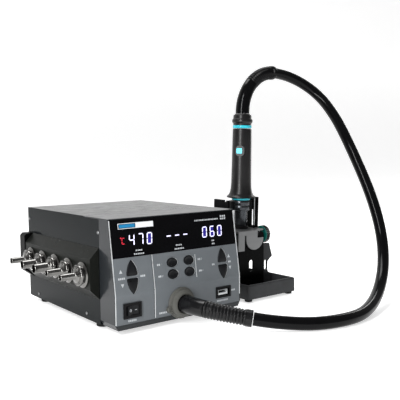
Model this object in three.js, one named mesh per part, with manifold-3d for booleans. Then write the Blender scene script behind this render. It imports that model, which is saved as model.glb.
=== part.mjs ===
// Hot air rework station with its handle resting in a bench stand.
// Millimetres, +Z up, +X to the right along the front panel, +Y towards the back.

import * as THREE from "three";
import { mergeVertices } from "three/addons/utils/BufferGeometryUtils.js";
import Module from "manifold-3d";

const wasm = await Module();
wasm.setup();

// ---------------------------------------------------------------- driving dimensions

const GAP = 0.35; // clearance left between neighbouring pieces

const CASE = { width: 188, depth: 238, height: 132, underside: 7, sheet: 1.6 };

// Front moulding: vertical up to the kink, then leaning back to the top edge.
const BEZEL = {
  depth: 33, browEnd: 70, browSheet: 1.5, chin: 6, wall: 2.5, rim: 1.3, kink: 46, setback: 12.5,
};
const CORNER = { width: 4, height: 7 }; // chamfer on the two lower corners of the front moulding
const FASCIA_SHEET = 1.6;
const FASCIA_FOOT = -34; // bottom edge of the grey panel, measured down from the kink
const WINDOW_FOOT = 42; // bottom edge of the display window, measured up from the kink
const LEAN = Math.atan2(BEZEL.setback, CASE.height - BEZEL.kink);
const FACE_LENGTH = Math.hypot(BEZEL.setback, CASE.height - BEZEL.kink);

const ARROW = { halfWidth: 7.2, height: 17.7, split: 1.7, middle: 19.1, proud: 1.6, depth: 5.5 };
const ARROW_COLUMNS = { temperature: 25.3, airflow: 160.3 };
const OVAL = {
  halfWidth: 7.5, halfHeight: 5.6, proud: 1.2, depth: 5.5, columns: [82, 107], rows: [29.2, 15.2],
};
const ROCKER = { x: 22.7, z: 27.4, width: 23.8, height: 17.6, rest: 8 };
const USB = { x: 158.8, z: 28.5, width: 24.6, height: 14.3, depth: 17 };
const OUTLET = { x: 92, z: 25, radius: 18, reach: 9, bore: 11.2, neck: 12.3 };

const NOZZLE_PANEL = { front: 34, back: 222, bottom: 37, top: 97, reach: 12, bevel: 12, wall: 2 };
const NOZZLE_ROW = { first: 51.5, pitch: 37.2, z: 65, length: 28.7 };
const NOZZLE_TIPS = [4, 4.1, 6, 5.4, 4.1]; // outside radius of each tip, front to back
const PEG = { radius: 7.5, length: 4.7 };

const BLOWER = { x: 92, y: 160, z: 60, radius: 46, width: 36, wall: 2, outletEnd: 118 };

const STAND = {
  x: 219, y: 18, width: 93.5, depth: 100, top: 24, foot: 4, floor: 2.2, wall: 3.4, chamfer: 2,
};
const COLUMN = { left: 241, right: 289, face: 60, sheet: 2.5, top: 88.5, flange: 22 };
const HINGE = { y: 70, z: 84, pin: 3 }; // the stand's tilt axis runs along X
const KNOB = { radius: 13, start: 292.5, width: 8.5, teeth: 24, toothDepth: 0.9 };
const HOLDER_TILT = THREE.MathUtils.degToRad(2); // the handle leans forward by this much
const HANDLE = { x: 265.5, y: 85.5, bore: 9 };
const BUTTON_TURN = THREE.MathUtils.degToRad(-52); // side of the grip that carries the button

const HOSE = { radius: 7.85, joint: 0.7 };
const BOOT = { radius: 10, bend: 60, start: 262.7, straight: 3, reach: 100 };

// Centreline of the hose, from the station's outlet to the end of the handle's strain relief.
const ROUTE = [
  [92, 4, 25], [92.3, -10, 25], [95.2, -27.2, 24.3], [102.4, -45.1, 22.5], [115.7, -64.4, 19.1],
  [130.5, -80.5, 15.7], [146.8, -95.3, 12.5], [165.7, -109.7, 10], [186.3, -122.5, 8.4],
  [207.6, -131.2, 8], [236.3, -136.5, 8.2], [263.1, -134.9, 8.8], [289.7, -127.7, 11.4],
  [314.5, -118.2, 16.4], [336.4, -108.5, 24], [355, -99.4, 34.3], [369.9, -91.2, 46.7],
  [381.5, -83.3, 60.8], [390.5, -75.3, 77.3], [396.7, -66.8, 96.4], [400, -57.3, 119.1],
  [400.5, -47.9, 141.9], [399.3, -37.6, 165.4], [398, -25.6, 189.7], [398.4, -12.1, 213],
  [400.5, 3.3, 236.1], [402.5, 21, 259.8], [400.1, 41.7, 285.1], [390.6, 55.6, 301.7],
  [374, 66.9, 314.9], [353.7, 73.9, 322.8], [332.8, 76.8, 325.9], [325.5, 77.1, 326.1],
];
const SPLIT_Z = 213; // the hose is modelled in two lengths that meet on its way up

// ---------------------------------------------------------------- solids and geometry

const vector = (x, y, z) => new THREE.Vector3(x, y, z);

/** Position-only copy with shared corners merged, no collapsed triangles and its faces pointing out. */
function closed(geometry) {
  const bare = new THREE.BufferGeometry();
  bare.setAttribute("position", geometry.getAttribute("position").clone());
  bare.setIndex(geometry.index ? geometry.index.clone() : null);
  const merged = mergeVertices(bare, 1e-4);
  const corner = (i) => new THREE.Vector3().fromBufferAttribute(merged.attributes.position, i);
  const triangles = [];
  let volume = 0;
  for (let i = 0; i < merged.index.count; i += 3) {
    const [a, b, c] = [0, 1, 2].map((k) => merged.index.getX(i + k));
    if (a === b || b === c || c === a) continue;
    triangles.push([a, b, c]);
    volume += corner(a).dot(corner(b).cross(corner(c)));
  }
  const order = volume < 0 ? triangles.map(([a, b, c]) => [a, c, b]) : triangles;
  merged.setIndex(order.flat());
  return merged;
}

function toSolid(geometry) {
  const clean = closed(geometry);
  return new wasm.Manifold(new wasm.Mesh({
    numProp: 3,
    vertProperties: Float32Array.from(clean.attributes.position.array),
    triVerts: Uint32Array.from(clean.index.array),
  }));
}

function toGeometry(solid) {
  const mesh = solid.getMesh();
  const geometry = new THREE.BufferGeometry();
  geometry.setAttribute("position", new THREE.Float32BufferAttribute(mesh.vertProperties, 3));
  geometry.setIndex(Array.from(mesh.triVerts));
  return geometry;
}

const join = (...parts) => toGeometry(parts.map(toSolid).reduce((whole, next) => whole.add(next)));

const cut = (body, ...tools) =>
  toGeometry(tools.map(toSolid).reduce((rest, tool) => rest.subtract(tool), toSolid(body)));

function box(x0, x1, y0, y1, z0, z1) {
  const geometry = new THREE.BoxGeometry(x1 - x0, y1 - y0, z1 - z0);
  return geometry.translate((x0 + x1) / 2, (y0 + y1) / 2, (z0 + z1) / 2);
}

function outline(points) {
  if (points instanceof THREE.Shape) return points;
  return new THREE.Shape(points.map(([a, b]) => new THREE.Vector2(a, b)));
}

/** Extrudes an outline whose two coordinates run along the first two axes, along the third. */
function extrude(points, length, axisA, axisB, axisC, start) {
  const options = { depth: length, bevelEnabled: false, curveSegments: 8 };
  const geometry = new THREE.ExtrudeGeometry(outline(points), options);
  geometry.applyMatrix4(new THREE.Matrix4().makeBasis(axisA, axisB, axisC));
  return closed(geometry.translate(start.x, start.y, start.z));
}

const X = vector(1, 0, 0);
const Y = vector(0, 1, 0);
const Z = vector(0, 0, 1);

/** Outline in (Y, Z), from x0 to x1. */
const sidePrism = (points, x0, x1) => extrude(points, x1 - x0, Y, Z, X, vector(x0, 0, 0));

/** Outline in (X, Z), from y0 to y1. */
const frontPrism = (points, y0, y1) => extrude(points, y1 - y0, X, Z, Y.clone().negate(), vector(0, y1, 0));

/** Outline in (X, Y), from z0 to z1. */
const flatPrism = (points, z0, z1) => extrude(points, z1 - z0, X, Y, Z, vector(0, 0, z0));

/** A profile of [radius, height] turned about the given axis through the origin. */
function turned(profile, axis = Z, segments = 24) {
  const points = profile.map(([radius, height]) => new THREE.Vector2(radius, height));
  const geometry = new THREE.LatheGeometry(points, segments);
  return closed(geometry.applyQuaternion(new THREE.Quaternion().setFromUnitVectors(Y, axis)));
}

const rod = (radius, from, to, axis = Z, segments = 24) =>
  turned([[0, from], [radius, from], [radius, to], [0, to]], axis, segments);

const pipe = (outer, inner, from, to, axis = Z, segments = 24) =>
  turned([[inner, from], [outer, from], [outer, to], [inner, to], [inner, from]], axis, segments);

function ellipse(x, y, halfWidth, halfHeight) {
  return new THREE.Shape().absellipse(x, y, halfWidth, halfHeight, 0, 2 * Math.PI, false);
}

function roundedRectangle(x0, x1, y0, y1, radius) {
  const shape = new THREE.Shape();
  shape.absarc(x1 - radius, y0 + radius, radius, -Math.PI / 2, 0, false);
  shape.absarc(x1 - radius, y1 - radius, radius, 0, Math.PI / 2, false);
  shape.absarc(x0 + radius, y1 - radius, radius, Math.PI / 2, Math.PI, false);
  shape.absarc(x0 + radius, y0 + radius, radius, Math.PI, 1.5 * Math.PI, false);
  return shape;
}

/** Round tube of constant radius along a curve. */
function along(curve, radius, steps, sides) {
  const section = new THREE.Shape();
  for (let i = 0; i < sides; i += 1) {
    const angle = (2 * Math.PI * i) / sides;
    const point = [radius * Math.cos(angle), radius * Math.sin(angle)];
    if (i === 0) section.moveTo(...point);
    else section.lineTo(...point);
  }
  return closed(new THREE.ExtrudeGeometry(section, { steps, extrudePath: curve, bevelEnabled: false }));
}

/** Part of a curve, between two distances measured along it. */
class Stretch extends THREE.Curve {
  constructor(whole, from, to) {
    super();
    this.whole = whole;
    this.from = from / whole.getLength();
    this.to = to / whole.getLength();
  }

  getPoint(t) {
    return this.whole.getPointAt(this.from + (this.to - this.from) * t);
  }
}

/** Point of the front panel's section: along is measured up from the kink, depth into the case. */
function facade(distance, depth) {
  if (distance === 0) return [depth, BEZEL.kink - depth * Math.tan(LEAN / 2)];
  if (distance < 0) return [depth, BEZEL.kink + distance];
  return [
    distance * Math.sin(LEAN) + depth * Math.cos(LEAN),
    BEZEL.kink + distance * Math.cos(LEAN) - depth * Math.sin(LEAN),
  ];
}

// ---------------------------------------------------------------- materials and scene graph

const FINISHES = {
  case: [0x3a3d3e, 0.55, 0.2],
  bezel: [0x8d9193, 0.45, 0.2],
  fascia: [0x74787b, 0.5, 0.1],
  gloss: [0x08090a, 0.08, 0],
  black: [0x17181a, 0.5, 0],
  rubber: [0x121213, 0.8, 0],
  steel: [0xb9bab8, 0.3, 0.9],
  silver: [0xc9cbcc, 0.35, 0.8],
  stand: [0x5c5f62, 0.5, 0.3],
  darkMetal: [0x1e1f20, 0.45, 0.4],
  gunmetal: [0x34373b, 0.25, 0.7],
  cyan: [0x33c3cf, 0.35, 0],
  lit: [0x5fe3f2, 0.3, 0],
  board: [0x1d5b3a, 0.6, 0],
  ceramic: [0xd8cfbb, 0.8, 0],
};

/** Adds one named mesh with its own material to a group. */
function add(group, name, geometry, finish) {
  const [color, roughness, metalness] = FINISHES[finish];
  const mesh = new THREE.Mesh(geometry, new THREE.MeshStandardMaterial({ color, roughness, metalness }));
  mesh.name = name;
  group.add(mesh);
  return mesh;
}

const part = new THREE.Group();
const station = new THREE.Group();
const fascia = new THREE.Group(); // sits on the leaning panel: X along it, Y into it, Z up it
const stand = new THREE.Group();
const holder = new THREE.Group(); // everything that tilts on the stand's hinge
part.add(station, stand, holder);
station.add(fascia);
fascia.position.set(0, 0, BEZEL.kink);
fascia.rotation.x = -LEAN;
fascia.updateMatrix();
holder.rotation.x = HOLDER_TILT;
holder.position.set(0, HINGE.y, HINGE.z).sub(vector(0, HINGE.y, HINGE.z).applyEuler(holder.rotation));

const onFascia = (geometry) => geometry.applyMatrix4(fascia.matrix);

// ---------------------------------------------------------------- station case

function chassisBase() {
  const inner = CASE.sheet + GAP;
  const right = CASE.width - inner;
  const back = CASE.depth - 2.7;
  const flangeTop = 22;
  const front = BEZEL.depth + 1;
  return join(
    box(inner, right, front, back, CASE.underside, CASE.underside + CASE.sheet),
    box(inner, inner + CASE.sheet, front, back, CASE.underside, flangeTop),
    box(right - CASE.sheet, right, front, back, CASE.underside, flangeTop),
  );
}

function coverSection(top) {
  const sheet = CASE.sheet;
  const right = CASE.width;
  return [
    [0, CASE.underside], [sheet, CASE.underside], [sheet, top - sheet], [right - sheet, top - sheet],
    [right - sheet, CASE.underside], [right, CASE.underside], [right, top], [0, top],
  ];
}

/** Bent sheet cover; its front strip is stepped down to pass under the bezel's brow. */
function topCover() {
  const stepTop = CASE.height - BEZEL.browSheet - GAP;
  const front = BEZEL.depth + GAP;
  const step = BEZEL.browEnd + GAP;
  const ventSlots = Array.from({ length: 9 }, (_, i) => {
    const y = 120 + 10 * i;
    return box(CASE.width - 2 * CASE.sheet, CASE.width + 1, y, y + 4, 60, 96);
  });
  const shell = join(
    frontPrism(coverSection(CASE.height), step, CASE.depth),
    frontPrism(coverSection(stepTop), front, step + 1),
    box(0, CASE.width, step, step + CASE.sheet, stepTop - CASE.sheet, CASE.height),
  );
  return cut(shell, ...ventSlots);
}

const INLET = { x: 35, z: 34, width: 30, height: 23, depth: 18 };

function rearPanel() {
  const inner = CASE.sheet + GAP;
  const back = CASE.depth - 0.8;
  const edge = CASE.sheet + 2 * GAP;
  const plate = box(
    inner, CASE.width - inner, back - CASE.sheet, back, CASE.underside + edge, CASE.height - edge);
  const inletHole = box(INLET.x - 14, INLET.x + 14, 220, 250, INLET.z - 10.5, INLET.z + 10.5);
  const grille = Array.from({ length: 8 }, (_, i) => {
    const z = 40 + 8 * i;
    return box(96, 160, 220, 250, z, z + 4);
  });
  return cut(plate, inletHole, ...grille);
}

/** Mains inlet with three recessed pins. */
function powerInlet() {
  const { x, z, width, height, depth } = INLET;
  const flangeFace = CASE.depth + 2;
  const flange = box(
    x - width / 2 - 3, x + width / 2 + 3, CASE.depth - 0.4, flangeFace, z - height / 2, z + height / 2);
  const body = box(x - 13.6, x + 13.6, flangeFace - depth, flangeFace, z - 10.1, z + 10.1);
  const socket = box(x - 12, x + 12, flangeFace - depth + 2, flangeFace + 1, z - 8, z + 8);
  const pin = (px, pz) => box(px - 1, px + 1, flangeFace - depth + 1, flangeFace - 6, pz - 2, pz + 2);
  return join(cut(join(flange, body), socket), pin(x - 7, z - 2), pin(x + 7, z - 2), pin(x, z + 3));
}

/** Opening in the front moulding, as an outline in (X, distance from the kink). */
const fasciaHole = (points) => onFascia(frontPrism(points, -5, 8));

function frontBezel() {
  const { chin, kink, setback, browEnd, browSheet, depth, wall } = BEZEL;
  const wallDepth = FASCIA_SHEET + GAP + wall;
  const outer = sidePrism([
    [0, chin], [0, kink], [setback, CASE.height], [browEnd, CASE.height],
    [browEnd, CASE.height - browSheet], [depth, CASE.height - browSheet], [depth, chin],
  ], 0, CASE.width);
  const cavityTop = CASE.height - 3.8;
  const cavity = sidePrism([
    [wallDepth, chin + wall], facade(0, wallDepth),
    [facade(0, wallDepth)[0] + (cavityTop - facade(0, wallDepth)[1]) * Math.tan(LEAN), cavityTop],
    [depth + 1, cavityTop], [depth + 1, chin + wall],
  ], wall, CASE.width - wall);
  const seat = FASCIA_SHEET + GAP;
  const [low, high] = [FASCIA_FOOT - GAP, FACE_LENGTH - 1];
  const recess = sidePrism([
    facade(low, -1), facade(0, -1), facade(high, -1),
    facade(high, seat), facade(0, seat), facade(low, seat),
  ], BEZEL.rim, CASE.width - BEZEL.rim);
  const corner = [
    [-CORNER.width, 0], [CORNER.width, 0], [CORNER.width, 2 * CORNER.height], [0, CORNER.height],
  ].map(([u, v]) => [CASE.width + u, chin + v]);
  const mirrored = corner.map(([x, z]) => [CASE.width - x, z]).reverse();
  const windowHole = [[8, 46], [180, 46], [180, 82], [8, 82]];
  const arrowHole = (x) => [[x - 8, -1.5], [x + 8, -1.5], [x + 8, 40], [x - 8, 40]];
  return cut(
    outer, cavity, recess, fasciaHole(windowHole),
    frontPrism(corner, -1, depth + 1), frontPrism(mirrored, -1, depth + 1),
    ...Object.values(ARROW_COLUMNS).map((x) => fasciaHole(arrowHole(x))),
    ...ovalPlaces().map(ovalHole),
    ...lowerHoles(),
  );
}

/** Openings for the rocker, the USB port and the hose outlet, all in the vertical part of the panel. */
function lowerHoles() {
  return [
    box(ROCKER.x - 10.5, ROCKER.x + 10.5, -5, 12, ROCKER.z - 7.4, ROCKER.z + 7.4),
    box(USB.x - 11.8, USB.x + 11.8, -5, 12, USB.z - 6.6, USB.z + 6.6),
    rod(OUTLET.neck + GAP, -12, 5, Y).translate(OUTLET.x, 0, OUTLET.z),
  ];
}

const ovalPlaces = () => OVAL.columns.flatMap((x) => OVAL.rows.map((s) => [x, s]));

const ovalHole = ([x, s]) => fasciaHole(ellipse(x, s, OVAL.halfWidth + GAP, OVAL.halfHeight + GAP));

/** Half of a pointed oval: flat base on the X axis and apex above it. */
function arrowOutline(x, base, direction, grow) {
  const w = ARROW.halfWidth + grow;
  const low = base - direction * grow;
  const at = (u, v) => [x + u, low + direction * v];
  const tip = ARROW.height + 2.6 * grow;
  const shape = new THREE.Shape();
  shape.moveTo(...at(-w + 1.6, 0));
  shape.lineTo(...at(w - 1.6, 0));
  shape.quadraticCurveTo(...at(w, 0), ...at(w, 1.8));
  shape.quadraticCurveTo(...at(0.86 * w, 0.66 * tip), ...at(0, tip));
  shape.quadraticCurveTo(...at(-0.86 * w, 0.66 * tip), ...at(-w, 1.8));
  shape.quadraticCurveTo(...at(-w, 0), ...at(-w + 1.6, 0));
  return shape;
}

/** Left and right ends of the sheets let into the front moulding. */
const betweenRims = [BEZEL.rim + GAP, CASE.width - BEZEL.rim - GAP];

const arrowBase = (direction) => ARROW.middle + direction * ARROW.split;

function frontFascia() {
  const sheet = FASCIA_SHEET;
  const top = WINDOW_FOOT - GAP;
  const panel = sidePrism([
    facade(FASCIA_FOOT, 0), facade(0, 0), facade(top, 0),
    facade(top, sheet), facade(0, sheet), facade(FASCIA_FOOT, sheet),
  ], ...betweenRims);
  const groove = (x, width, depth) => sidePrism([
    facade(FASCIA_FOOT + 3, -1), facade(0, -1), facade(top + 1, -1),
    facade(top + 1, depth), facade(0, depth), facade(FASCIA_FOOT + 3, depth),
  ], x, x + width);
  const arrowHoles = Object.values(ARROW_COLUMNS).flatMap((x) =>
    [1, -1].map((direction) => fasciaHole(arrowOutline(x, arrowBase(direction), direction, GAP))));
  return cut(
    panel, groove(53, 1.1, 0.8), ...arrowHoles,
    ...ovalPlaces().map(ovalHole),
    ...lowerHoles(),
  );
}

function displayWindow() {
  const [low, high] = [WINDOW_FOOT, FACE_LENGTH - 1 - GAP];
  const [front, back] = [0.4, FASCIA_SHEET];
  const section = [facade(low, front), facade(high, front), facade(high, back), facade(low, back)];
  return sidePrism(section, ...betweenRims);
}

function foot(radius, height) {
  return turned([[0, 0], [radius - 1.2, 0], [radius, 1.2], [radius, height], [0, height]], Z, 20);
}

/** The four corners of a rectangle, by name. */
function corners(left, right, front, back) {
  return {
    front_left: [left, front],
    front_right: [right, front],
    rear_left: [left, back],
    rear_right: [right, back],
  };
}

function addCase() {
  add(station, "chassis_base", chassisBase(), "darkMetal");
  add(station, "top_cover", topCover(), "case");
  add(station, "rear_panel", rearPanel(), "case");
  add(station, "power_inlet", powerInlet(), "black");
  add(station, "front_bezel", frontBezel(), "bezel");
  add(station, "front_fascia", frontFascia(), "fascia");
  add(station, "display_window", displayWindow(), "gloss");
  for (const [corner, [x, y]] of Object.entries(corners(14, CASE.width - 14, 52, 212))) {
    add(station, `case_foot_${corner}`, foot(8.5, CASE.underside - GAP), "rubber").position.set(x, y, 0);
  }
}

// ---------------------------------------------------------------- controls on the front

/** Oval button with a dished face. */
function ovalButton() {
  const { halfWidth, halfHeight, proud, depth } = OVAL;
  const round = turned([
    [0, -depth], [halfHeight, -depth], [halfHeight, proud - 0.6], [halfHeight - 0.6, proud],
    [halfHeight - 1.6, proud], [0, proud - 0.8],
  ], Y.clone().negate(), 24);
  return round.scale(halfWidth / halfHeight, 1, 1);
}

/** Frame that clips into the panel, with a rectangular well for the rocker. */
function rockerFrame() {
  const [halfWidth, halfHeight] = [ROCKER.width / 2, ROCKER.height / 2];
  const flange = box(-halfWidth, halfWidth, -1.8, -GAP, -halfHeight, halfHeight);
  const body = box(-10.1, 10.1, -1.8, 15, -7, 7);
  const well = box(-8.8, 8.8, -3, 13, -5.6, 5.6);
  return cut(join(flange, body), well);
}

const ROCKER_PIVOT = 4.5;

/** Rocker turning about a vertical pin: its two faces meet in a shallow valley. */
function rocker() {
  return flatPrism([[-7.6, -6.4], [0, -5], [7.6, -6.4], [7.6, 0], [3, 3], [-3, 3], [-7.6, 0]], -5.2, 5.2);
}

function usbPort() {
  const { width, height, depth } = USB;
  const flange = box(-width / 2, width / 2, -1, -GAP, -height / 2, height / 2);
  const body = box(-11.4, 11.4, -1, depth, -6.2, 6.2);
  const socket = box(-9.6, 9.6, -2, depth - 3, -4.4, 4.4);
  const tongue = box(-7.6, 7.6, 5, depth - 2, -2.2, -0.2);
  return join(cut(join(flange, body), socket), tongue);
}

/** Moulded collar around the hose, with a screw lobe low on each side. */
function hoseOutlet() {
  const { radius, reach, bore, neck } = OUTLET;
  const collar = turned([
    [bore, -8], [neck, -8], [neck, GAP], [radius + 1.2, GAP], [radius + 1.2, 1.8], [radius, 2.4],
    [radius - 1.2, reach - 2.2], [bore + 2.6, reach], [bore, reach], [bore, -8],
  ], Y.clone().negate(), 28);
  const lobes = [-1, 1].map((side) => rod(4.2, -4.6, -GAP, Y, 16).translate(side * radius, 0, -5.5));
  return join(collar, ...lobes);
}

function addControls() {
  for (const [column, x] of Object.entries(ARROW_COLUMNS)) {
    for (const [name, direction] of [["up", 1], ["down", -1]]) {
      const shape = arrowOutline(x, arrowBase(direction), direction, 0);
      add(fascia, `${column}_${name}_button`, frontPrism(shape, -ARROW.proud, ARROW.depth), "black");
    }
  }
  ovalPlaces().forEach(([x, s], i) => {
    add(fascia, `channel_button_${i + 1}`, ovalButton(), "black").position.set(x, 0, s);
  });
  add(station, "rocker_frame", rockerFrame(), "black").position.set(ROCKER.x, 0, ROCKER.z);
  const power = add(station, "power_rocker", rocker(), "black");
  power.position.set(ROCKER.x, ROCKER_PIVOT, ROCKER.z);
  power.rotation.z = THREE.MathUtils.degToRad(ROCKER.rest);
  add(station, "usb_port", usbPort(), "black").position.set(USB.x, 0, USB.z);
  add(station, "hose_outlet", hoseOutlet(), "fascia").position.set(OUTLET.x, 0, OUTLET.z);
}

// ---------------------------------------------------------------- nozzles on the left side

const nozzlePlaces = () => NOZZLE_TIPS.map((_, i) => NOZZLE_ROW.first + i * NOZZLE_ROW.pitch);

/** Raised side panel with a bevel above and below and one peg for each nozzle. */
function nozzlePanel() {
  const { front, back, bottom, top, reach, bevel, wall } = NOZZLE_PANEL;
  const section = (inset) => [
    [-GAP + inset, bottom + inset], [-reach + inset, bottom + bevel + inset / 2],
    [-reach + inset, top - bevel - inset / 2], [-GAP + inset, top - inset],
  ];
  const hollow = frontPrism(section(wall), front + wall, back - wall);
  const shell = cut(frontPrism(section(0), front, back), hollow);
  const pegs = nozzlePlaces().map((y) =>
    rod(PEG.radius, reach - 1, reach + PEG.length, X.clone().negate(), 20).translate(0, y, NOZZLE_ROW.z));
  return join(shell, ...pegs);
}

function nozzleEndCap() {
  const { back, bottom, top, reach } = NOZZLE_PANEL;
  const side = [
    [-GAP, bottom - 1], [-reach - 1, bottom + 8.5], [-reach - 1, top - 3.5],
    [-reach + 2.5, top], [-GAP, top],
  ];
  return frontPrism(side, back + GAP, CASE.depth);
}

/** Turned steel nozzle: clamp flange, waist, shoulder ring and straight tip, open right through. */
function nozzle(tip) {
  const { length } = NOZZLE_ROW;
  const bore = PEG.radius + GAP;
  return turned([
    [bore, 0], [15.2, 0], [15.2, 1.5], [13.4, 2.4], [11.4, 3], [11.4, 4.6], [12.6, 5.4], [12.6, 7.4],
    [11.2, 8.6], [tip + 1.6, 10.2], [tip, 11.2], [tip, length], [tip - 0.7, length], [tip - 0.7, 9.6],
    [bore, 6], [bore, 0],
  ], X.clone().negate(), 20);
}

function addNozzles() {
  add(station, "nozzle_panel", nozzlePanel(), "case");
  add(station, "nozzle_end_cap", nozzleEndCap(), "black");
  nozzlePlaces().forEach((y, i) => {
    const mesh = add(station, `nozzle_${i + 1}`, nozzle(NOZZLE_TIPS[i]), "steel");
    mesh.position.set(-NOZZLE_PANEL.reach - GAP, y, NOZZLE_ROW.z);
  });
}

// ---------------------------------------------------------------- air and electronics inside

/** Spiral housing around the fan wheel, with its outlet low at the front. */
function blowerHousing() {
  const { x, y, z, radius, width, wall, outletEnd } = BLOWER;
  const [left, right] = [x - width / 2, x + width / 2];
  const drum = rod(radius, left, right, X, 32).translate(0, y, z);
  const bottom = z - radius;
  const outlet = box(left + 3, right - 3, outletEnd, y, bottom, bottom + 22);
  const cradle = box(left + 6, right - 6, y - 18, y + 18, CASE.underside + CASE.sheet + GAP, bottom + 10);
  const chamber = rod(radius - wall, left + wall, right - wall, X, 32).translate(0, y, z);
  const channel = box(left + 5, right - 5, outletEnd - 1, y, bottom + wall, bottom + 20);
  const intake = rod(22, right - 4, right + 2, X, 24).translate(0, y, z);
  const shaftHole = rod(5, left - 2, left + 4, X, 16).translate(0, y, z);
  return cut(join(drum, outlet, cradle), chamber, channel, intake, shaftHole);
}

/** Fan wheel: back plate, blades, hub and shroud ring. */
function impeller() {
  const [back, front, radius] = [-13, 12, 38];
  const blades = Array.from({ length: 12 }, (_, i) => {
    const blade = box(back, front, 18, radius - 0.6, -0.8, 0.8).rotateX(0.5).translate(0, 0, -9);
    return blade.rotateX((2 * Math.PI * i) / 12);
  });
  const wheel = join(
    rod(radius, back - 2, back + 0.5, X, 32), pipe(radius, 27, front - 0.5, front + 1.5, X, 32),
    rod(8, back - 1, front, X, 16), ...blades,
  );
  return cut(wheel, rod(HINGE.pin + GAP, back - 3, front - 3, X, 16));
}

function blowerMotor() {
  const left = -BLOWER.width / 2;
  return join(rod(21, left - 36, left - GAP, X, 24), rod(HINGE.pin, left - 1, 8, X, 16));
}

function airDuct() {
  return pipe(12.5, 10.6, 9, BLOWER.outletEnd - 1, Y, 20);
}

/** Upright circuit board with its transformer, heat sink and capacitors. */
function mainBoard() {
  const face = 170;
  const capacitors = [70, 84, 98].map((y) => rod(5, face - 18, face + 1, X, 12).translate(0, y, 90));
  const fins = [0, 1, 2, 3, 4].map((i) => box(face - 26, face + 1, 70 + 9 * i, 72 + 9 * i, 34, 66));
  return join(
    box(face, face + CASE.sheet, 58, 222, 24, 114), box(face - 34, face + 1, 158, 206, 34, 82),
    box(face - 4, face + 1, 70, 108, 34, 66), ...fins, ...capacitors,
  );
}

/** Board behind the window with three digit modules, leaning with the panel. */
function displayBoard() {
  const module = (x0, x1) => box(x0, x1, 2.6, 10, 50, 78);
  return join(box(9, 178, 9, 10.6, 3, 83), module(14, 60), module(76, 114), module(126, 170));
}

function addInside() {
  add(station, "blower_housing", blowerHousing(), "black");
  add(station, "blower_impeller", impeller(), "darkMetal").position.set(BLOWER.x, BLOWER.y, BLOWER.z);
  add(station, "blower_motor", blowerMotor(), "steel").position.set(BLOWER.x, BLOWER.y, BLOWER.z);
  add(station, "air_duct", airDuct(), "rubber").position.set(OUTLET.x, 0, OUTLET.z);
  add(station, "main_board", mainBoard(), "board");
  add(fascia, "display_board", displayBoard(), "board");
}

// ---------------------------------------------------------------- stand

/** Open tray with sloping rims on its front and right walls. */
function standBase() {
  const { x, y, width, depth, top, foot: low, floor, wall, chamfer } = STAND;
  const tray = cut(
    flatPrism(roundedRectangle(x, x + width, y, y + depth, 3), low, top),
    box(x + wall, x + width - wall, y + wall, y + depth - wall, low + floor, top + 1),
  );
  const frontSlope = sidePrism(
    [[y - 1, top - chamfer - 1], [y + chamfer + 1, top + 1], [y - 1, top + 1]],
    x - 1, x + width + 1,
  );
  const right = x + width;
  const rightSlope = frontPrism(
    [[right + 1, top - chamfer - 1], [right + 1, top + 1], [right - chamfer - 1, top + 1]],
    y - 1, y + depth + 1,
  );
  return cut(tray, frontSlope, rightSlope);
}

/** Raised bracket on the right of the upright; its slotted leg flares out where it meets the tray. */
function sideBracket() {
  const x = COLUMN.right + GAP;
  const floor = STAND.foot + STAND.floor + GAP;
  const legEnd = x + 7.4;
  const side = new THREE.Shape();
  side.moveTo(x, floor);
  side.lineTo(legEnd + 7, floor);
  side.lineTo(legEnd + 7, STAND.top + 1.4);
  side.quadraticCurveTo(legEnd, STAND.top + 3, legEnd, STAND.top + 10);
  side.lineTo(x + 8.2, 44);
  side.lineTo(x + 17.5, 51.5);
  side.lineTo(x + 11.5, 71);
  side.lineTo(x, 72);
  const slot = roundedRectangle(x + 1.2, legEnd - 0.9, 31.5, 46.5, 2.5);
  const sheet = frontPrism(side, COLUMN.face, COLUMN.face + COLUMN.sheet);
  return cut(sheet, frontPrism(slot, COLUMN.face - 1, COLUMN.face + COLUMN.sheet + 1));
}

/** Bent sheet upright: foot on the tray, front plate with a slot, and a flange down each side. */
function standColumn() {
  const { left, right, face, sheet, top, flange } = COLUMN;
  const floor = STAND.foot + STAND.floor + GAP;
  const bend = 8;
  const profile = new THREE.Shape();
  profile.moveTo(face - 26, floor);
  profile.absarc(face + sheet - bend, floor + bend, bend, -Math.PI / 2, 0, false);
  profile.lineTo(face + sheet, top);
  profile.lineTo(face, top);
  profile.absarc(face + sheet - bend, floor + bend, bend - sheet, 0, -Math.PI / 2, true);
  profile.lineTo(face - 26, floor + sheet);
  const ear = new THREE.Shape();
  ear.moveTo(face, 20);
  ear.lineTo(face + flange, 20);
  ear.lineTo(face + flange, HINGE.z - 10);
  ear.absarc(HINGE.y, HINGE.z, 6.3, 0, Math.PI * 0.75, false);
  ear.lineTo(face, HINGE.z);
  const slotX = HANDLE.x - 1.3;
  const slot = frontPrism(roundedRectangle(slotX - 4.2, slotX + 4.2, 32.5, 49.5, 4.1), face - 3, face + 4);
  const pinHole = rod(HINGE.pin + GAP, left - 1, right + 1, X, 16).translate(0, HINGE.y, HINGE.z);
  const ears = [sidePrism(ear, left, left + sheet), sidePrism(ear, right - sheet, right)];
  return cut(join(sidePrism(profile, left, right), ...ears), slot, pinHole);
}

function hingePin() {
  return join(
    rod(HINGE.pin, COLUMN.left - 2, COLUMN.right + 12, X, 16),
    rod(5.6, COLUMN.left - 5, COLUMN.left - GAP, X, 6),
  );
}

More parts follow.
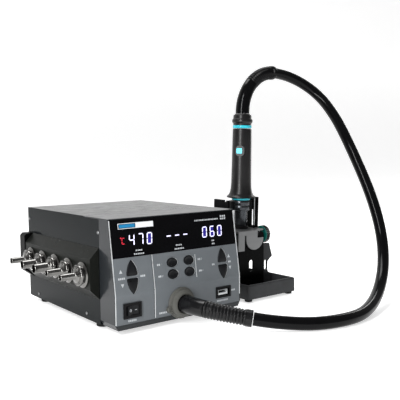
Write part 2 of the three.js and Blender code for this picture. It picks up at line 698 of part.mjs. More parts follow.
/** Knurled clamping knob on the end of the hinge pin. */
function clampKnob() {
  const { radius, start, width, teeth, toothDepth } = KNOB;
  const end = start + width;
  const rim = Array.from({ length: 2 * teeth }, (_, i) => {
    const reach = i % 2 ? radius : radius - toothDepth;
    const angle = (Math.PI * i) / teeth;
    return [reach * Math.cos(angle), reach * Math.sin(angle)];
  });
  return cut(
    join(
      sidePrism(rim, start + 1.5, end),
      rod(radius - 0.4, start, start + 2, X, 32),
      rod(radius - 3, end - 0.5, end + 1.5, X, 24),
    ),
    rod(HINGE.pin + GAP, start - 1, end + 0.5, X, 16),
  );
}

function addStand() {
  add(stand, "stand_base", standBase(), "stand");
  const inset = 7.5;
  const [left, right] = [STAND.x + inset, STAND.x + STAND.width - inset];
  const [front, back] = [STAND.y + inset, STAND.y + STAND.depth - inset];
  for (const [corner, [x, y]] of Object.entries(corners(left, right, front, back))) {
    add(stand, `stand_foot_${corner}`, foot(5.5, STAND.foot - GAP), "rubber").position.set(x, y, 0);
  }
  add(stand, "stand_column", standColumn(), "darkMetal");
  add(stand, "side_bracket", sideBracket(), "stand");
  add(stand, "hinge_pin", hingePin(), "steel").position.set(0, HINGE.y, HINGE.z);
  add(stand, "clamp_knob", clampKnob(), "steel").position.set(0, HINGE.y, HINGE.z);
}

// ---------------------------------------------------------------- tilting holder

const SIDE_PLATE = { left: 287.5, right: 290.5, front: 73.7, back: 97, top: 140 };
const YOKE = { left: 236, right: 291.5, front: 55.8, back: 101, under: 91.2, sheet: 2.3 };
const TONGUE = { x: 268, z: 82, radius: 17, shoulder: 273, armWidth: 12, armFoot: 65 };

/** Bent plate over the column: top, front skirt with a rounded tongue, and two lugs on the pin. */
function tiltYoke() {
  const { left, right, front, back, under, sheet } = YOKE;
  const { x: middle, z: level, radius, shoulder, armWidth, armFoot } = TONGUE;
  const corner = front + 7;
  const top = flatPrism([
    [left, front], [shoulder, front], [shoulder, corner], [right, corner], [right, back], [left, back],
  ], under, under + sheet);
  const tongue = new THREE.Shape();
  tongue.moveTo(middle - radius, under + 1);
  tongue.lineTo(middle - radius, level);
  tongue.absarc(middle, level, radius, Math.PI, 2 * Math.PI, false);
  tongue.lineTo(shoulder, level);
  tongue.lineTo(shoulder, under + 1);
  const skirt = [
    frontPrism(tongue, front, front + sheet),
    box(left, left + armWidth, front, front + sheet, armFoot, under + 1),
    box(left, shoulder, front, front + sheet, under - 4, under + 1),
  ];
  const inner = COLUMN.sheet + 0.5;
  const lugs = [COLUMN.left + inner, COLUMN.right - inner - sheet].map((x) =>
    box(x, x + sheet, HINGE.y - 6, HINGE.y + 6, HINGE.z - 5, under + 1));
  const pinHole = rod(HINGE.pin + GAP, left, right, X, 16).translate(0, HINGE.y, HINGE.z);
  const airHole = rod(7, under - 5, under + 5, Z, 20).translate(HANDLE.x, HANDLE.y, 0);
  return cut(join(top, ...skirt, ...lugs), pinHole, airHole);
}

/** Slotted plate up the right-hand side that carries the clip. */
function holderPlate() {
  const floor = YOKE.under + YOKE.sheet + GAP;
  const { left, right, front, back, top } = SIDE_PLATE;
  const slot = box(left - 1, right + 1, HANDLE.y - 3.5, HANDLE.y + 1.5, floor + 2.5, 120.5);
  const base = box(left - 4, right, front + 2, back - 2, floor, floor + 2);
  const plate = join(box(left, right, front, back, floor, top), base);
  return cut(plate, slot);
}

function holderSeat() {
  const floor = YOKE.under + YOKE.sheet + GAP;
  return turned([[7, floor], [12.5, floor], [10.5, floor + 3.8], [7, floor + 3.8], [7, floor]], Z, 24)
    .translate(HANDLE.x, HANDLE.y, 0);
}

/** Half-round clip behind the barrel with a long prong to the back and a lug to the side plate. */
function holderClip() {
  const [inner, outer] = [14.3, 17.6];
  const [low, high] = [122, 134.6];
  const from = THREE.MathUtils.degToRad(-25);
  const to = THREE.MathUtils.degToRad(185);
  const ring = new THREE.Shape();
  ring.absarc(HANDLE.x, HANDLE.y, outer, from, to, false);
  ring.absarc(HANDLE.x, HANDLE.y, inner, to, from, true);
  const left = HANDLE.x - outer;
  const prong = box(left, left + 5, HANDLE.y + 8, HANDLE.y + 41, low, high);
  const notch = box(left - 1, left + 6, HANDLE.y + 13, HANDLE.y + 21, high - 2.4, high + 1);
  const lug = box(HANDLE.x + outer - 1, SIDE_PLATE.left - GAP, HANDLE.y - 4, HANDLE.y + 4, low, high);
  return cut(join(flatPrism(ring, low, high), prong, lug), notch);
}

function addHolder() {
  add(holder, "tilt_yoke", tiltYoke(), "silver");
  add(holder, "holder_plate", holderPlate(), "darkMetal");
  add(holder, "holder_seat", holderSeat(), "black");
  add(holder, "holder_clip", holderClip(), "black");
}

// ---------------------------------------------------------------- handle

const LEVELS = { // heights of the handle's joints above the bench
  tip: 98.6, shoulder: 120.8, barrelTop: 136, skirt: 139.6, skirtTop: 147, gripTop: 241, nut: 247.8,
};
const BUTTON = { z: 208.6, width: 7.8, height: 7.4, shift: -1.1, frameWidth: 13, frameHeight: 15 };

/** Places a shape on the side of the grip that carries the button. */
const onGripSide = (geometry) => geometry.rotateZ(BUTTON_TURN).translate(HANDLE.x, HANDLE.y, BUTTON.z);

const onAxis = (geometry) => geometry.translate(HANDLE.x, HANDLE.y, 0);

/** Moulded grip with a flange at its lower end and a raised frame around the button's well. */
function handleGrip() {
  const { skirt, skirtTop, gripTop } = LEVELS;
  const { width, height, shift, frameWidth, frameHeight } = BUTTON;
  const body = onAxis(turned([
    [HANDLE.bore, skirt], [21.2, skirt], [21.2, skirt + 1.8], [16.2, skirtTop], [15.2, skirtTop + 8],
    [14.4, 196], [13.9, gripTop], [HANDLE.bore, gripTop], [HANDLE.bore, skirt],
  ]));
  const raised = onGripSide(frontPrism(
    roundedRectangle(-frameWidth / 2, frameWidth / 2, -frameHeight / 2, frameHeight / 2, 5), -15.3, -11.5));
  const well = onGripSide(box(
    shift - width / 2 - GAP, shift + width / 2 + GAP, -17, -9.9, -height / 2 - GAP, height / 2 + GAP));
  return cut(join(body, raised), well);
}

function gripButton() {
  const { width, height, shift } = BUTTON;
  const face = roundedRectangle(shift - width / 2, shift + width / 2, -height / 2, height / 2, 1);
  return onGripSide(frontPrism(face, -15.5, -11.4));
}

function handleBarrel() {
  const { tip, shoulder, barrelTop } = LEVELS;
  return onAxis(turned([
    [8.4, tip], [9.6, tip], [9.9, tip + 1], [9.9, shoulder], [13.5, shoulder + 0.6], [13.5, barrelTop],
    [8.4, barrelTop], [8.4, tip],
  ]));
}

function handleNut() {
  const { nut } = LEVELS;
  return onAxis(turned([
    [8, nut], [13.6, nut], [15, nut + 1.8], [15, nut + 6.4], [13.4, nut + 7.8], [13.2, nut + 12.8],
    [11, nut + 14.5], [8, nut + 14.5], [8, nut],
  ]));
}

/** Strain relief that carries the hose from the handle's axis round to level. */
function handleBoot() {
  const { start, straight, bend } = BOOT;
  const path = new THREE.CurvePath();
  const turn = start + straight;
  path.add(new THREE.LineCurve3(vector(HANDLE.x, HANDLE.y, start), vector(HANDLE.x, HANDLE.y, turn)));
  const steps = 12;
  const arc = Array.from({ length: steps + 1 }, (_, i) => {
    const angle = (Math.PI / 2) * (i / steps);
    return vector(HANDLE.x + bend * (1 - Math.cos(angle)), HANDLE.y, turn + bend * Math.sin(angle));
  });
  for (let i = 0; i < steps; i += 1) path.add(new THREE.LineCurve3(arc[i], arc[i + 1]));
  return along(path, BOOT.radius, 16, 12);
}

function addHandle() {
  const { barrelTop, skirt, gripTop, nut, tip } = LEVELS;
  add(holder, "handle_grip", handleGrip(), "black");
  add(holder, "grip_button", gripButton(), "lit");
  add(holder, "handle_ring_lower", onAxis(pipe(13.8, HANDLE.bore, barrelTop + GAP, skirt - GAP)), "cyan");
  add(holder, "handle_ring_upper", onAxis(pipe(14, HANDLE.bore, gripTop + GAP, nut - GAP)), "cyan");
  add(holder, "handle_barrel", handleBarrel(), "gunmetal");
  add(holder, "heater_core", onAxis(rod(7, tip + 8, 172)), "ceramic");
  add(holder, "handle_nut", handleNut(), "black");
  add(holder, "handle_boot", handleBoot(), "rubber");
}

// ---------------------------------------------------------------- hose

/** Distance along a curve at which it first climbs past a height. */
function climbsPast(curve, height) {
  const samples = curve.getSpacedPoints(600);
  const last = samples.findIndex((point, i) => i > 300 && point.z > height);
  return (last / 600) * curve.getLength();
}

function addHose() {
  const route = new THREE.CatmullRomCurve3(ROUTE.map((point) => vector(...point)), false, "centripetal");
  const split = climbsPast(route, SPLIT_Z);
  const pieces = {
    station_boot: [station, 6, BOOT.reach, BOOT.radius, 10, 12],
    hose_lower: [part, BOOT.reach + HOSE.joint, split - HOSE.joint, HOSE.radius, 34, 10],
    hose_upper: [part, split, route.getLength() - HOSE.joint, HOSE.radius, 16, 10],
  };
  for (const [name, [group, from, to, radius, steps, sides]] of Object.entries(pieces)) {
    add(group, name, along(new Stretch(route, from, to), radius, steps, sides), "rubber");
  }
}

// ---------------------------------------------------------------- assembly

/** Moves the origin to the middle of the underside of everything but the free hose. */
function centre() {
  part.updateMatrixWorld(true);
  const bounds = new THREE.Box3();
  part.traverse((object) => {
    if (object.isMesh && !object.name.startsWith("hose_lower") && !object.name.startsWith("hose_upper")) {
      bounds.expandByObject(object, true);
    }
  });
  const middle = bounds.getCenter(vector(0, 0, 0));
  part.position.set(-middle.x, -middle.y, -bounds.min.z);
}

addCase();
addControls();
addNozzles();
addInside();
addStand();
addHolder();
addHandle();
addHose();
centre();

export default part;
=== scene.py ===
"""Looks of the hot air station: its handle rests in a bench stand, and its hose loops round on the table.

Shapes are given in millimetres from the case's front left corner at table level and stored in metres.
"""

import math

import bmesh
import bpy
from mathutils import Matrix, Vector


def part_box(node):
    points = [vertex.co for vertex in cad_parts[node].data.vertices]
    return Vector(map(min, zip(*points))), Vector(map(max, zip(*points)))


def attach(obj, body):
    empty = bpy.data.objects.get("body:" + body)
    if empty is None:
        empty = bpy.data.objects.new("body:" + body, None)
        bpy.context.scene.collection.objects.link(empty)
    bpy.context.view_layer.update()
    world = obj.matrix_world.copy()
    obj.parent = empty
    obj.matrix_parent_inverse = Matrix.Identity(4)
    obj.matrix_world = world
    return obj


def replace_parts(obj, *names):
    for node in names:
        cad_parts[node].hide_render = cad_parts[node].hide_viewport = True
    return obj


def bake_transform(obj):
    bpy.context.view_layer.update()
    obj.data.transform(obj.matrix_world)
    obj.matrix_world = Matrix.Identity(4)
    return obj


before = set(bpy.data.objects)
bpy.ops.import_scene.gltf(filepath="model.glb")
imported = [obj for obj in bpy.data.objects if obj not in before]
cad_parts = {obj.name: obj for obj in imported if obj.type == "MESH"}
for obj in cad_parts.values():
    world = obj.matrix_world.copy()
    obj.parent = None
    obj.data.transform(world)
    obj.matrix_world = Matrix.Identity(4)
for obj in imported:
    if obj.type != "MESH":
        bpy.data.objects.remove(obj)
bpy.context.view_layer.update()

MM = 0.001
CORNER = Vector((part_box("top_cover")[0].x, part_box("front_bezel")[0].y, 0))
TO_ROW = Matrix.Translation(CORNER) @ Matrix.Scale(MM, 4)

CASE_WIDTH, CASE_HEIGHT = 188, 132
KINK, SETBACK = 46, 12.5  # height where the panel starts to lean, and how far its top leans back
LEAN = math.atan2(SETBACK, CASE_HEIGHT - KINK)
LEANING = Matrix.Translation((0, 0, KINK)) @ Matrix.Rotation(-LEAN, 4, "X")

HINGE_Y, HINGE_Z = 70, 84
HOLDER_TILT = math.radians(2)
TILTED = (
    Matrix.Translation((0, HINGE_Y, HINGE_Z))
    @ Matrix.Rotation(HOLDER_TILT, 4, "X")
    @ Matrix.Translation((0, -HINGE_Y, -HINGE_Z))
)
HANDLE_X, HANDLE_Y = 265.5, 85.5
ON_HANDLE = TILTED @ Matrix.Translation((HANDLE_X, HANDLE_Y, 0))
ALONG_MINUS_X = Matrix.Rotation(math.radians(-90), 4, "Y")
ALONG_X = Matrix.Rotation(math.radians(90), 4, "Y")
ALONG_MINUS_Y = Matrix.Rotation(math.radians(90), 4, "X")


def at(x, y, z):
    """A point given in the case's millimetres, in the row frame."""
    return TO_ROW @ Vector((x, y, z))


# ---------------------------------------------------------------- camera, lights and floor

FOCAL_LENGTH, SENSOR_WIDTH = 54.17, 36
CAMERA_PLACE = (-333.3, -579.8, 203.1)
CAMERA_TURN, CAMERA_PITCH, CAMERA_ROLL = -38.176, -4.264, -0.523  # degrees
DAYLIGHT = 0.25


def add_camera():
    data = bpy.data.cameras.new("camera")
    data.lens = FOCAL_LENGTH
    data.sensor_width = SENSOR_WIDTH
    data.clip_start = 0.01
    camera = bpy.data.objects.new("camera", data)
    bpy.context.scene.collection.objects.link(camera)
    turn, tilt, roll = (math.radians(angle) for angle in (CAMERA_TURN, 90 + CAMERA_PITCH, CAMERA_ROLL))
    aim = Matrix.Rotation(turn, 4, "Z") @ Matrix.Rotation(tilt, 4, "X") @ Matrix.Rotation(roll, 4, "Z")
    camera.matrix_world = Matrix.Translation(at(*CAMERA_PLACE)) @ aim
    bpy.context.scene.camera = camera


def add_lamp(name, place, target, power, size):
    data = bpy.data.lights.new(name, "AREA")
    data.energy = power
    data.shape = "RECTANGLE"
    data.size, data.size_y = size
    lamp = bpy.data.objects.new(name, data)
    bpy.context.scene.collection.objects.link(lamp)
    lamp.location = place
    lamp.visible_camera = False
    lamp.rotation_mode = "QUATERNION"
    lamp.rotation_quaternion = (Vector(target) - Vector(place)).to_track_quat("-Z", "Y")


def add_studio():
    add_lamp("softbox_above", (0.1, 0.35, 1.35), (0, 0.05, 0.05), 14, (0.9, 0.6))
    add_lamp("strip_right", (1.3, 0.25, 0.6), (0.2, 0, 0.15), 3, (0.1, 1.0))
    add_lamp("strip_on_left", (-0.9, -0.5, 0.5), (0, 0, 0.12), 14, (0.12, 1.1))
    world = bpy.data.worlds.new("studio")
    bpy.context.scene.world = world
    world.use_nodes = True
    background = world.node_tree.nodes["Background"]
    background.inputs["Color"].default_value = (1, 1, 1, 1)
    background.inputs["Strength"].default_value = DAYLIGHT
    settings = bpy.context.scene.view_settings
    settings.view_transform = "Standard"
    settings.look = "None"


def add_floor():
    """A sheet of pale paper that curves up behind the object."""
    left, right, front, back, top, bend = -4, 8, -3, 3, 4, 1
    steps = 16
    outline = [(front, 0), (back - bend, 0)]
    for i in range(1, steps + 1):
        angle = math.pi / 2 * i / steps
        outline.append((back - bend + bend * math.sin(angle), bend - bend * math.cos(angle)))
    outline.append((back, top))
    verts = [(x, y, z) for x in (left, right) for y, z in outline]
    count = len(outline)
    faces = [(i, i + count, i + count + 1, i + 1) for i in range(count - 1)]
    mesh = bpy.data.meshes.new("backdrop")
    mesh.from_pydata(verts, [], faces)
    mesh.shade_smooth()
    floor = bpy.data.objects.new("backdrop", mesh)
    bpy.context.scene.collection.objects.link(floor)
    mesh.materials.append(finish("paper"))


# ---------------------------------------------------------------- materials

NOISE_RANGE = (0.3, 0.7)
COAT_ROUGHNESS = 0.1


def link(tree, source, target):
    tree.links.new(source, target)


def noise(tree, scale, detail=3, stretch=(1, 1, 1)):
    """Noise in the row frame; scale is in features per metre."""
    place = tree.nodes.new("ShaderNodeTexCoord")
    mapping = tree.nodes.new("ShaderNodeMapping")
    mapping.inputs["Scale"].default_value = stretch
    texture = tree.nodes.new("ShaderNodeTexNoise")
    texture.inputs["Scale"].default_value = scale
    texture.inputs["Detail"].default_value = detail
    link(tree, place.outputs["Object"], mapping.inputs["Vector"])
    link(tree, mapping.outputs["Vector"], texture.inputs["Vector"])
    return texture.outputs["Fac"]


def remap(tree, value, low, high):
    """Spreads the part of a noise that is mostly used over low to high."""
    node = tree.nodes.new("ShaderNodeMapRange")
    node.inputs["From Min"].default_value, node.inputs["From Max"].default_value = NOISE_RANGE
    node.inputs["To Min"].default_value = low
    node.inputs["To Max"].default_value = high
    link(tree, value, node.inputs["Value"])
    return node.outputs["Result"]


def surface(
    name, colour, roughness, metallic=0, specular=0.2, spread=0.08, tint=0.12, cloud=60, grain=0, depth=0,
    stretch=(1, 1, 1), coat=0, emission=0, emission_colour=(1, 1, 1),
):
    """Finish with cloudy colour and roughness, and a fine grain that is raised by depth, in metres."""
    material = bpy.data.materials.new(name)
    material.use_nodes = True
    tree = material.node_tree
    shader = tree.nodes["Principled BSDF"]
    shader.inputs["Metallic"].default_value = metallic
    shader.inputs["Specular IOR Level"].default_value = specular
    shader.inputs["Coat Weight"].default_value = coat
    shader.inputs["Coat Roughness"].default_value = COAT_ROUGHNESS
    shader.inputs["Emission Color"].default_value = (*emission_colour, 1)
    shader.inputs["Emission Strength"].default_value = emission
    broad = noise(tree, cloud, 4, stretch)
    ramp = tree.nodes.new("ShaderNodeValToRGB")
    for element, position, share in zip(ramp.color_ramp.elements, NOISE_RANGE, (1 - tint, 1 + tint)):
        element.position = position
        element.color = (*[min(1, c * share) for c in colour], 1)
    link(tree, broad, ramp.inputs["Fac"])
    link(tree, ramp.outputs["Color"], shader.inputs["Base Color"])
    uneven = remap(tree, broad, roughness - spread / 2, roughness + spread / 2)
    link(tree, uneven, shader.inputs["Roughness"])
    if grain:
        bump = tree.nodes.new("ShaderNodeBump")
        bump.inputs["Distance"].default_value = depth
        link(tree, noise(tree, grain, 2, stretch), bump.inputs["Height"])
        link(tree, bump.outputs["Normal"], shader.inputs["Normal"])
    return material


TURNED = (1, 0.004, 0.004)  # grain that only changes along X, as a lathe leaves it
BRUSHED = (0.02, 1, 1)  # grain drawn out along X

FINISHES = {
    "paper": dict(colour=(0.82, 0.82, 0.82), roughness=0.9, tint=0.004, cloud=3, emission=0.58),
    "case_paint": dict(
        colour=(0.006, 0.0075, 0.0082), roughness=0.18, specular=0.035, tint=0.05, grain=1500,
        depth=0.000003, coat=0.05),
    "panel_paint": dict(
        colour=(0.009, 0.0098, 0.0086), roughness=0.3, specular=0.05, tint=0.05, grain=1500, depth=0.000005),
    "bezel_paint": dict(
        colour=(0.015, 0.017, 0.019), roughness=0.35, specular=0.1, tint=0.05, grain=1500,
        depth=0.000003, coat=0.35),
    "fascia_grey": dict(colour=(0.118, 0.13, 0.14), roughness=0.42, tint=0.05, grain=2200, depth=0.000006),
    "collar_taupe": dict(colour=(0.075, 0.075, 0.068), roughness=0.42, grain=2200, depth=0.000008),
    # real silver for the USB shell, and the pale colour of the painted highlight strips, rims and crease
    "silver_and_painted_highlight": dict(colour=(0.6, 0.62, 0.63), roughness=0.3, metallic=0.3, grain=1500, depth=0.00001),
    "window_gloss": dict(colour=(0.002, 0.002, 0.0025), roughness=0.12, specular=0.08, spread=0.04),
    "black_plastic": dict(
        colour=(0.005, 0.005, 0.0055), roughness=0.3, specular=0.08, grain=1800, depth=0.00001),
    "button_black": dict(
        colour=(0.006, 0.0065, 0.0075), roughness=0.3, specular=0.15, grain=2500, depth=0.000006),
    "rubber_black": dict(
        colour=(0.002, 0.002, 0.0024), roughness=0.15, specular=0.13, grain=900, depth=0.000004),
    "sleeve_rubber": dict(
        colour=(0.0035, 0.0035, 0.004), roughness=0.25, specular=0.28, grain=900, depth=0.000006),
    "foot_rubber": dict(colour=(0.005, 0.005, 0.005), roughness=0.7, grain=1200, depth=0.00002),
    "turned_steel": dict(
        colour=(0.17, 0.167, 0.16), roughness=0.2, metallic=1, tint=0.25, cloud=300, grain=1800,
        depth=0.000004, stretch=TURNED),
    "stand_paint": dict(
        colour=(0.034, 0.035, 0.037), roughness=0.32, specular=0.12, grain=1500, depth=0.000005),
    "column_black": dict(
        colour=(0.002, 0.002, 0.0022), roughness=0.35, specular=0.04, grain=1500, depth=0.000008),
    "bracket_silver": dict(
        colour=(0.2, 0.203, 0.206), roughness=0.36, metallic=0.65, grain=1400, depth=0.000006,
        stretch=BRUSHED),
    "gunmetal": dict(colour=(0.06, 0.064, 0.07), roughness=0.25, metallic=0.85, grain=1800, depth=0.000004),
    "knob_black": dict(colour=(0.01, 0.01, 0.01), roughness=0.25, coat=0.6, grain=1500, depth=0.000006),
    "knob_teal": dict(colour=(0.003, 0.11, 0.09), roughness=0.35, grain=1500, depth=0.00001),
    "cyan_ring": dict(colour=(0.03, 0.46, 0.56), roughness=0.3, grain=1800, depth=0.000006, coat=0.3),
    "button_cyan": dict(
        colour=(0.1, 0.6, 0.72), roughness=0.3, emission=0.55, emission_colour=(0.12, 0.8, 0.95)),
    "grip_black": dict(
        colour=(0.007, 0.0066, 0.007), roughness=0.32, specular=0.3, grain=2200, depth=0.000006),
    "print_white": dict(colour=(0.46, 0.48, 0.5), roughness=0.6, grain=3000, depth=0.00001),
    "badge_blue": dict(
        colour=(0.01, 0.12, 0.26), roughness=0.3, emission=0.25, emission_colour=(0.02, 0.3, 0.62)),
    "badge_white": dict(colour=(0.6, 0.62, 0.64), roughness=0.35, emission=0.15),
    "digit_white": dict(
        colour=(0.7, 0.7, 0.9), roughness=0.4, emission=0.75, emission_colour=(0.72, 0.68, 1)),
    "digit_haze": dict(
        colour=(0.01, 0.008, 0.1), roughness=0.4, emission=0.22, emission_colour=(0.06, 0.03, 0.75)),
    "digit_red": dict(
        colour=(0.5, 0.02, 0.03), roughness=0.4, emission=0.5, emission_colour=(0.85, 0.03, 0.08)),
    "circuit_board": dict(colour=(0.015, 0.12, 0.05), roughness=0.5, grain=600, depth=0.00002),
    "ceramic": dict(colour=(0.55, 0.5, 0.4), roughness=0.8, grain=900, depth=0.00002),
}
made_finishes = {}


def finish(name):
    if name not in made_finishes:
        made_finishes[name] = surface(name, **FINISHES[name])
    return made_finishes[name]


# ---------------------------------------------------------------- mesh making

SAME_POINT = 1e-7  # metres


def add_bevel(obj, width, segments=3):
    bevel = obj.modifiers.new("Bevel", "BEVEL")
    bevel.width = width * MM
    bevel.segments = segments
    bevel.limit_method = "ANGLE"
    bevel.angle_limit = math.radians(35)
    bevel.use_clamp_overlap = True
    bevel.harden_normals = False


def make_mesh(name, shape, place):
    """A mesh from (verts, faces) in millimetres, put in place, its faces all turned outwards."""
    verts, faces = shape
    mesh = bpy.data.meshes.new(name)
    mesh.from_pydata([tuple(TO_ROW @ place @ Vector(v)) for v in verts], [], faces)
    cleaned = bmesh.new()
    cleaned.from_mesh(mesh)
    bmesh.ops.remove_doubles(cleaned, verts=cleaned.verts, dist=SAME_POINT)
    bmesh.ops.recalc_face_normals(cleaned, faces=cleaned.faces)
    cleaned.to_mesh(mesh)
    cleaned.free()
    return mesh


def piece(name, shape, finish_name, body, place=Matrix(), bevel=0, smooth_to=35):
    """A shape in millimetres as an object with a finish. Its body is None where it is attached to no body.
    """
    mesh = make_mesh(name, shape, place)
    mesh.shade_smooth()
    mesh.set_sharp_from_angle(angle=math.radians(smooth_to))
    mesh.materials.append(finish(finish_name))
    obj = bpy.data.objects.new(name, mesh)
    bpy.context.scene.collection.objects.link(obj)
    if bevel:
        add_bevel(obj, bevel)
    if body:
        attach(obj, body)
    return obj


def revolve(profile, sides=72):
    """Turns (radius, height) points about Z. A profile that ends where it starts closes on itself."""
    closed = profile[0] == profile[-1]
    points = profile[:-1] if closed else profile
    verts = []
    for i in range(sides):
        angle = 2 * math.pi * i / sides
        verts += [(r * math.cos(angle), r * math.sin(angle), h) for r, h in points]
    count = len(points)
    faces = []
    for i in range(sides):
        a, b = i * count, (i + 1) % sides * count
        for k in range(count if closed else count - 1):
            n = (k + 1) % count
            corners = [a + k, b + k, b + n, a + n]
            if points[k][0] == 0:
                corners = [a + k, b + n, a + n]
            elif points[n][0] == 0:
                corners = [a + k, b + k, a + n]
            faces.append(corners)
    return verts, faces


def tube(points, radii, sides=32):
    """Round closed tube through points, with a radius at each."""
    verts, faces = [], []
    points = [Vector(p) for p in points]
    normal = None
    for i, point in enumerate(points):
        tangent = (points[min(i + 1, len(points) - 1)] - points[max(i - 1, 0)]).normalized()
        if normal is None:
            normal = tangent.orthogonal().normalized()
        normal = (normal - tangent * normal.dot(tangent)).normalized()
        side = tangent.cross(normal)
        for k in range(sides):
            angle = 2 * math.pi * k / sides
            verts.append(point + radii[i] * (math.cos(angle) * normal + math.sin(angle) * side))
    for i in range(len(points) - 1):
        for k in range(sides):
            n = (k + 1) % sides
            faces.append([i * sides + k, i * sides + n, (i + 1) * sides + n, (i + 1) * sides + k])
    faces.append(list(range(sides)))
    faces.append([(len(points) - 1) * sides + k for k in reversed(range(sides))])
    return verts, faces


def block(x0, x1, y0, y1, z0, z1):
    verts = [(x, y, z) for x in (x0, x1) for y in (y0, y1) for z in (z0, z1)]
    faces = [(0, 1, 3, 2), (4, 6, 7, 5), (0, 4, 5, 1), (2, 3, 7, 6), (0, 2, 6, 4), (1, 5, 7, 3)]
    return verts, faces


def plate(outlines, front, back):
    """Sheet with holes: outlines in (X, Z), the first the outer one, between two depths along Y."""
    curve = bpy.data.curves.new("outline", "CURVE")
    curve.dimensions = "2D"
    curve.fill_mode = "BOTH"
    curve.extrude = 0.5
    for outline in outlines:
        spline = curve.splines.new("POLY")
        spline.points.add(len(outline) - 1)
        for point, (x, z) in zip(spline.points, outline):
            point.co = (x, z, 0, 1)
        spline.use_cyclic_u = True
    holder = bpy.data.objects.new("outline", curve)
    mesh = bpy.data.meshes.new_from_object(holder)
    middle, thickness = (front + back) / 2, back - front
    verts = [(v.co.x, middle + v.co.z * thickness, v.co.y) for v in mesh.vertices]
    faces = [list(p.vertices) for p in mesh.polygons]
    bpy.data.objects.remove(holder)
    bpy.data.curves.remove(curve)
    bpy.data.meshes.remove(mesh)
    return verts, faces


def circle(x, z, radius, count=48, wider=1):
    """Circle, or an oval that is wider times as wide as it is high."""
    turns = [2 * math.pi * i / count for i in range(count)]
    return [(x + wider * radius * math.cos(turn), z + radius * math.sin(turn)) for turn in turns]


def rounded(x0, x1, z0, z1, radius, steps=6):
    centres = [(x1 - radius, z0 + radius, -90), (x1 - radius, z1 - radius, 0),
               (x0 + radius, z1 - radius, 90), (x0 + radius, z0 + radius, 180)]
    points = []
    for cx, cz, start in centres:
        for i in range(steps + 1):
            angle = math.radians(start + 90 * i / steps)
            points.append((cx + radius * math.cos(angle), cz + radius * math.sin(angle)))
    return points


def arrow(x, base, direction, grow=0, steps=14):
    """Pointed oval with a flat base: half of a lens, its tip up or down."""
    half, height = 7.2 + grow, 17.7 + 2.6 * grow
    low = base - direction * grow
    corner = 1.7
    right = [(half - corner, 0), (half - corner * 0.3, corner * 0.25), (half, corner)]
    for i in range(1, steps + 1):
        t = i / steps
        u = (1 - t) ** 2 * half + 2 * t * (1 - t) * half * 0.86
        v = (1 - t) ** 2 * corner + 2 * t * (1 - t) * height * 0.66 + t * t * height
        right.append((u, v))
    left = [(-u, v) for u, v in reversed(right[:-1])]
    return [(x + u, low + direction * v) for u, v in right + left]


def dress(node, finish_name, bevel=0, segments=2):
    """Gives a CAD node its finish, and small round edges."""
    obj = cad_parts[node]
    obj.data.materials.clear()
    obj.data.materials.append(finish(finish_name))
    if bevel:
        add_bevel(obj, bevel, segments)


# ---------------------------------------------------------------- the hose's route

ROUTE = [
    (92, 4, 25), (92.3, -10, 25), (95.2, -27.2, 24.3), (102.4, -45.1, 22.5), (115.7, -64.4, 19.1),
    (130.5, -80.5, 15.7), (146.8, -95.3, 12.5), (165.7, -109.7, 10), (186.3, -122.5, 8.4),
    (207.6, -131.2, 8), (236.3, -136.5, 8.2), (263.1, -134.9, 8.8), (289.7, -127.7, 11.4),
    (314.5, -118.2, 16.4), (336.4, -108.5, 24), (355, -99.4, 34.3), (369.9, -91.2, 46.7),
    (381.5, -83.3, 60.8), (390.5, -75.3, 77.3), (396.7, -66.8, 96.4), (400, -57.3, 119.1),
    (400.5, -47.9, 141.9), (399.3, -37.6, 165.4), (398, -25.6, 189.7), (398.4, -12.1, 213),
    (400.5, 3.3, 236.1), (402.5, 21, 259.8), (400.1, 41.7, 285.1), (390.6, 55.6, 301.7),
    (374, 66.9, 314.9), (353.7, 73.9, 322.8), (332.8, 76.8, 325.9), (325.5, 77.1, 326.1),
]
BOOT_START, BOOT_REACH = 6, 100  # where the station's strain relief starts and ends along the route
SPLIT_Z = 213
HOSE_RADIUS = 7.85
HOSE_JOINT = 0.7
ROUTE_STEP, RIB_STEP = 1.5, 0.45
BOOT_SIDES = 48


def smooth_route(points, per_span=12):
    """Centripetal Catmull-Rom curve through the points."""
    points = [Vector(p) for p in points]
    padded = [2 * points[0] - points[1], *points, 2 * points[-1] - points[-2]]
    line = []
    for a, b, c, d in zip(padded, padded[1:], padded[2:], padded[3:]):
        before, here, after = (math.sqrt((q - p).length) for p, q in ((a, b), (b, c), (c, d)))
        leave = ((b - a) / before - (c - a) / (before + here) + (c - b) / here) * here
        arrive = ((c - b) / here - (d - b) / (here + after) + (d - c) / after) * here
        for i in range(per_span):
            t = i / per_span
            line.append(
                b * (2 * t**3 - 3 * t**2 + 1) + leave * (t**3 - 2 * t**2 + t)
                + c * (3 * t**2 - 2 * t**3) + arrive * (t**3 - t**2)
            )
    return [*line, points[-1]]


def distances(line):
    total, result = 0, [0]
    for p, q in zip(line, line[1:]):
        total += (q - p).length
        result.append(total)
    return result


def stretch(line, start, end, step=ROUTE_STEP):
    """Evenly spaced points of a line between two distances along it."""
    marks = distances(line)
    count = max(2, round((end - start) / step))
    result, k = [], 0
    for i in range(count + 1):
        target = start + (end - start) * i / count
        while k < len(line) - 2 and marks[k + 1] < target:
            k += 1
        part = (target - marks[k]) / (marks[k + 1] - marks[k])
        result.append(line[k].lerp(line[k + 1], part))
    return result


